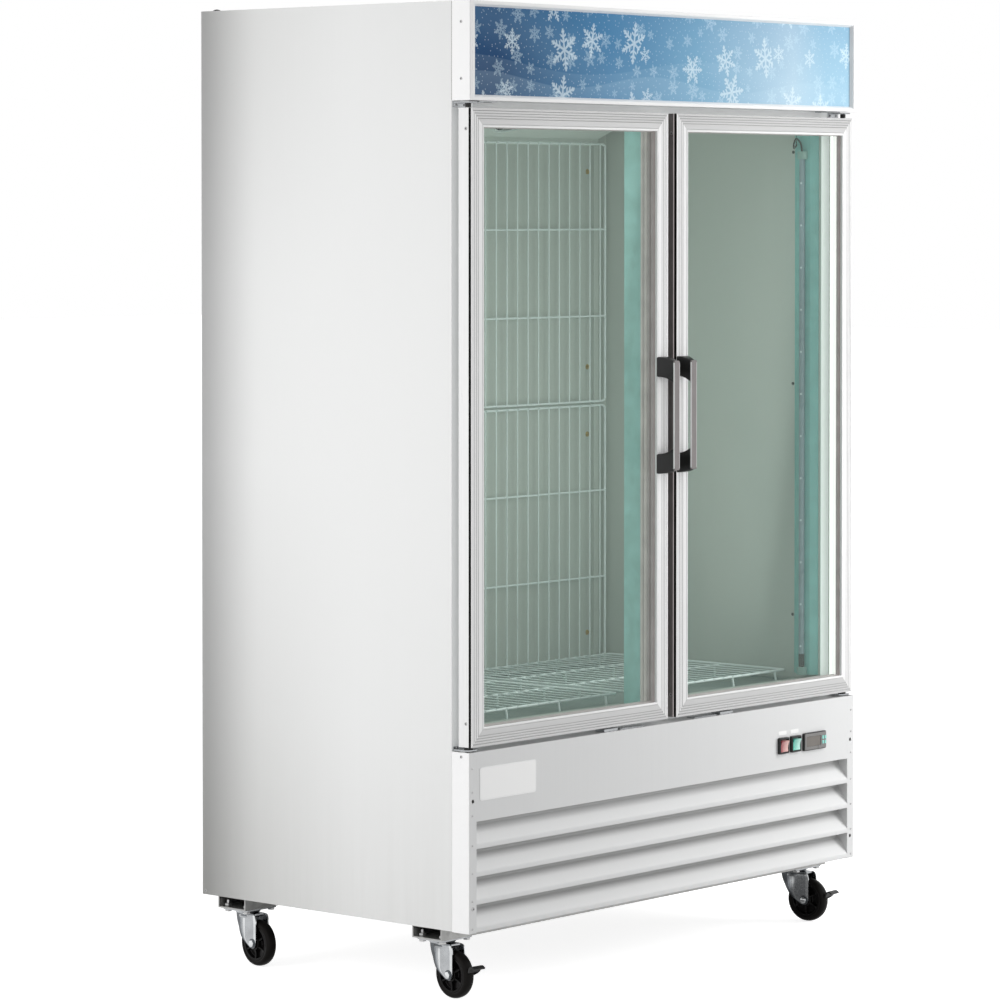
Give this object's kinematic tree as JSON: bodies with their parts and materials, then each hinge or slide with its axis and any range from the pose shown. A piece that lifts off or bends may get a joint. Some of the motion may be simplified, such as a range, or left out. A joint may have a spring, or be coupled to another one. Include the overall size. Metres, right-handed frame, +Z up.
{
  "type": "glass door ice merchandiser freezer",
  "caption": "upright glass-front ice freezer cabinet with twin swinging doors, lit header sign, louvred front, rocker switches and swivel casters with brakes",
  "frame": {"origin": "on the floor, at the middle of the outline seen from above", "axes": "+Z up, front with the doors towards -Y, +X to the right as seen from the front"},
  "size_m": [1.353, 0.81, 2.081],
  "materials": {
    "white_paint": "satin white enamel",
    "front_white": "gloss white enamel",
    "frame_grey": "satin grey paint",
    "galvanised": "galvanised sheet",
    "zinc": "bright zinc plate",
    "foam": "rigid foam",
    "liner": "white coated aluminium",
    "mullion": "satin grey cover over foam",
    "sign_frame": "white powder coat",
    "sign_face": "printed blue ice pattern",
    "lamp_housing": "frosted lamp housing",
    "lamp_tube": "frosted tube",
    "white_wire": "white coated wire",
    "fins": "mill finish",
    "dark_fins": "black paint",
    "black_paint": "semi gloss black",
    "copper": "copper tube",
    "black_plastic": "black moulding",
    "red_plastic": "lit red lens",
    "green_plastic": "lit green lens",
    "button": "teal rubber key",
    "door_aluminium": "satin silver",
    "grip": "warm grey grip",
    "glass": "clear insulated glass",
    "rubber": "black rubber",
    "tyre": "hard black rubber"
  },
  "bodies": {
    "cabinet": {"left_side_panel": "white_paint", "right_side_panel": "white_paint", "back_panel": "galvanised", "top_panel": "white_paint", "base_frame": "galvanised", "foam_insulation": "foam", "inner_liner": "liner", "face_frame": "frame_grey", "center_mullion": "mullion", "sign_frame": "sign_frame", "sign_panel": "sign_face", "trim_covers": "white_paint", "control_panel": "front_white", "louvre_blades": "front_white", "grille_uprights": "front_white", "door_hardware": "zinc", "lamp_channels": "lamp_housing", "lamp_tubes": "lamp_tube", "wire_guards": "white_wire", "floor_racks": "white_wire", "evaporator_cover": "liner", "evaporator_coil": "fins", "fan_motors": "black_paint", "condenser_coil": "dark_fins", "condenser_shroud": "galvanised", "compressor": "black_paint", "refrigerant_lines": "copper", "control_modules": "black_plastic", "caster_plates": "zinc", "screws": "zinc", "black_grommets": "rubber"},
    "left_door": {"left_door_frame": "door_aluminium", "left_door_glass": "glass", "left_door_gasket": "rubber", "left_handle_grip": "grip", "left_handle_ends": "black_plastic"},
    "right_door": {"right_door_frame": "door_aluminium", "right_door_glass": "glass", "right_door_gasket": "rubber", "right_handle_grip": "grip", "right_handle_ends": "black_plastic"},
    "front_left_caster": {"front_left_fork": "zinc"},
    "front_left_roller": {"front_left_wheel": "tyre"},
    "left_brake": {"left_brake_pedal": "black_plastic"},
    "front_right_caster": {"front_right_fork": "zinc"},
    "front_right_roller": {"front_right_wheel": "tyre"},
    "right_brake": {"right_brake_pedal": "black_plastic"},
    "rear_left_caster": {"rear_left_fork": "zinc"},
    "rear_left_roller": {"rear_left_wheel": "tyre"},
    "rear_right_caster": {"rear_right_fork": "zinc"},
    "rear_right_roller": {"rear_right_wheel": "tyre"},
    "red_switch": {"red_rocker": "red_plastic"},
    "green_switch": {"green_rocker": "green_plastic"},
    "key_up": {"button_up": "button"},
    "key_down": {"button_down": "button"},
    "key_set": {"button_set": "button"},
    "key_defrost": {"button_defrost": "button"},
    "left_evap_fan": {"left_evaporator_fan": "black_plastic"},
    "right_evap_fan": {"right_evaporator_fan": "black_plastic"},
    "condenser_fan_wheel": {"condenser_fan": "fins"}
  },
  "joints": [
    {"name": "left_door_hinge", "type": "hinge", "parent": "cabinet", "child": "left_door", "pos_m": [-0.655, -0.349, 1.1955], "axis": [0, 0, -1], "range_deg": [0, 110]},
    {"name": "right_door_hinge", "type": "hinge", "parent": "cabinet", "child": "right_door", "pos_m": [0.655, -0.349, 1.1955], "axis": [0, 0, 1], "range_deg": [0, 110]},
    {"name": "front_left_swivel", "type": "hinge", "parent": "cabinet", "child": "front_left_caster", "pos_m": [-0.616, -0.249, 0.115], "axis": [0, 0, 1], "continuous": true},
    {"name": "front_left_axle", "type": "hinge", "parent": "front_left_caster", "child": "front_left_roller", "pos_m": [-0.6199, -0.28076, 0.05], "axis": [0.9925, -0.1219, 0], "continuous": true},
    {"name": "left_brake_hinge", "type": "hinge", "parent": "front_left_caster", "child": "left_brake", "pos_m": [-0.6199, -0.28076, 0.05], "axis": [0.9925, -0.1219, 0], "range_deg": [0, 18]},
    {"name": "front_right_swivel", "type": "hinge", "parent": "cabinet", "child": "front_right_caster", "pos_m": [0.616, -0.249, 0.115], "axis": [0, 0, 1], "continuous": true},
    {"name": "front_right_axle", "type": "hinge", "parent": "front_right_caster", "child": "front_right_roller", "pos_m": [0.61823, -0.28092, 0.05], "axis": [0.9976, 0.0698, 0], "continuous": true},
    {"name": "right_brake_hinge", "type": "hinge", "parent": "front_right_caster", "child": "right_brake", "pos_m": [0.61823, -0.28092, 0.05], "axis": [0.9976, 0.0698, 0], "range_deg": [0, 18]},
    {"name": "rear_left_swivel", "type": "hinge", "parent": "cabinet", "child": "rear_left_caster", "pos_m": [-0.616, 0.319, 0.115], "axis": [0, 0, 1], "continuous": true},
    {"name": "rear_left_axle", "type": "hinge", "parent": "rear_left_caster", "child": "rear_left_roller", "pos_m": [-0.62045, 0.28731, 0.05], "axis": [0.9903, -0.1392, 0], "continuous": true},
    {"name": "rear_right_swivel", "type": "hinge", "parent": "cabinet", "child": "rear_right_caster", "pos_m": [0.616, 0.319, 0.115], "axis": [0, 0, 1], "continuous": true},
    {"name": "rear_right_axle", "type": "hinge", "parent": "rear_right_caster", "child": "rear_right_roller", "pos_m": [0.616, 0.287, 0.05], "axis": [1, 0, 0], "continuous": true},
    {"name": "red_switch_tilt", "type": "hinge", "parent": "cabinet", "child": "red_switch", "pos_m": [0.402, -0.367, 0.435], "axis": [-1, 0, 0], "range_deg": [0, 18]},
    {"name": "green_switch_tilt", "type": "hinge", "parent": "cabinet", "child": "green_switch", "pos_m": [0.4475, -0.367, 0.435], "axis": [-1, 0, 0], "range_deg": [0, 18]},
    {"name": "key_up_press", "type": "slide", "parent": "cabinet", "child": "key_up", "axis": [0, 1, 0], "range_m": [0, 0.0008], "stiffness_N_per_m": 250},
    {"name": "key_down_press", "type": "slide", "parent": "cabinet", "child": "key_down", "axis": [0, 1, 0], "range_m": [0, 0.0008], "stiffness_N_per_m": 250},
    {"name": "key_set_press", "type": "slide", "parent": "cabinet", "child": "key_set", "axis": [0, 1, 0], "range_m": [0, 0.0008], "stiffness_N_per_m": 250},
    {"name": "key_defrost_press", "type": "slide", "parent": "cabinet", "child": "key_defrost", "axis": [0, 1, 0], "range_m": [0, 0.0008], "stiffness_N_per_m": 250},
    {"name": "left_evap_fan_spin", "type": "hinge", "parent": "cabinet", "child": "left_evap_fan", "pos_m": [-0.183, 0.22539, 1.8567], "axis": [0, 0.3987, 0.9171], "continuous": true},
    {"name": "right_evap_fan_spin", "type": "hinge", "parent": "cabinet", "child": "right_evap_fan", "pos_m": [0.183, 0.22539, 1.8567], "axis": [0, 0.3987, 0.9171], "continuous": true},
    {"name": "condenser_fan_spin", "type": "hinge", "parent": "cabinet", "child": "condenser_fan_wheel", "pos_m": [-0.25, -0.18, 0.31155], "axis": [0, 1, 0], "continuous": true}
  ]
}
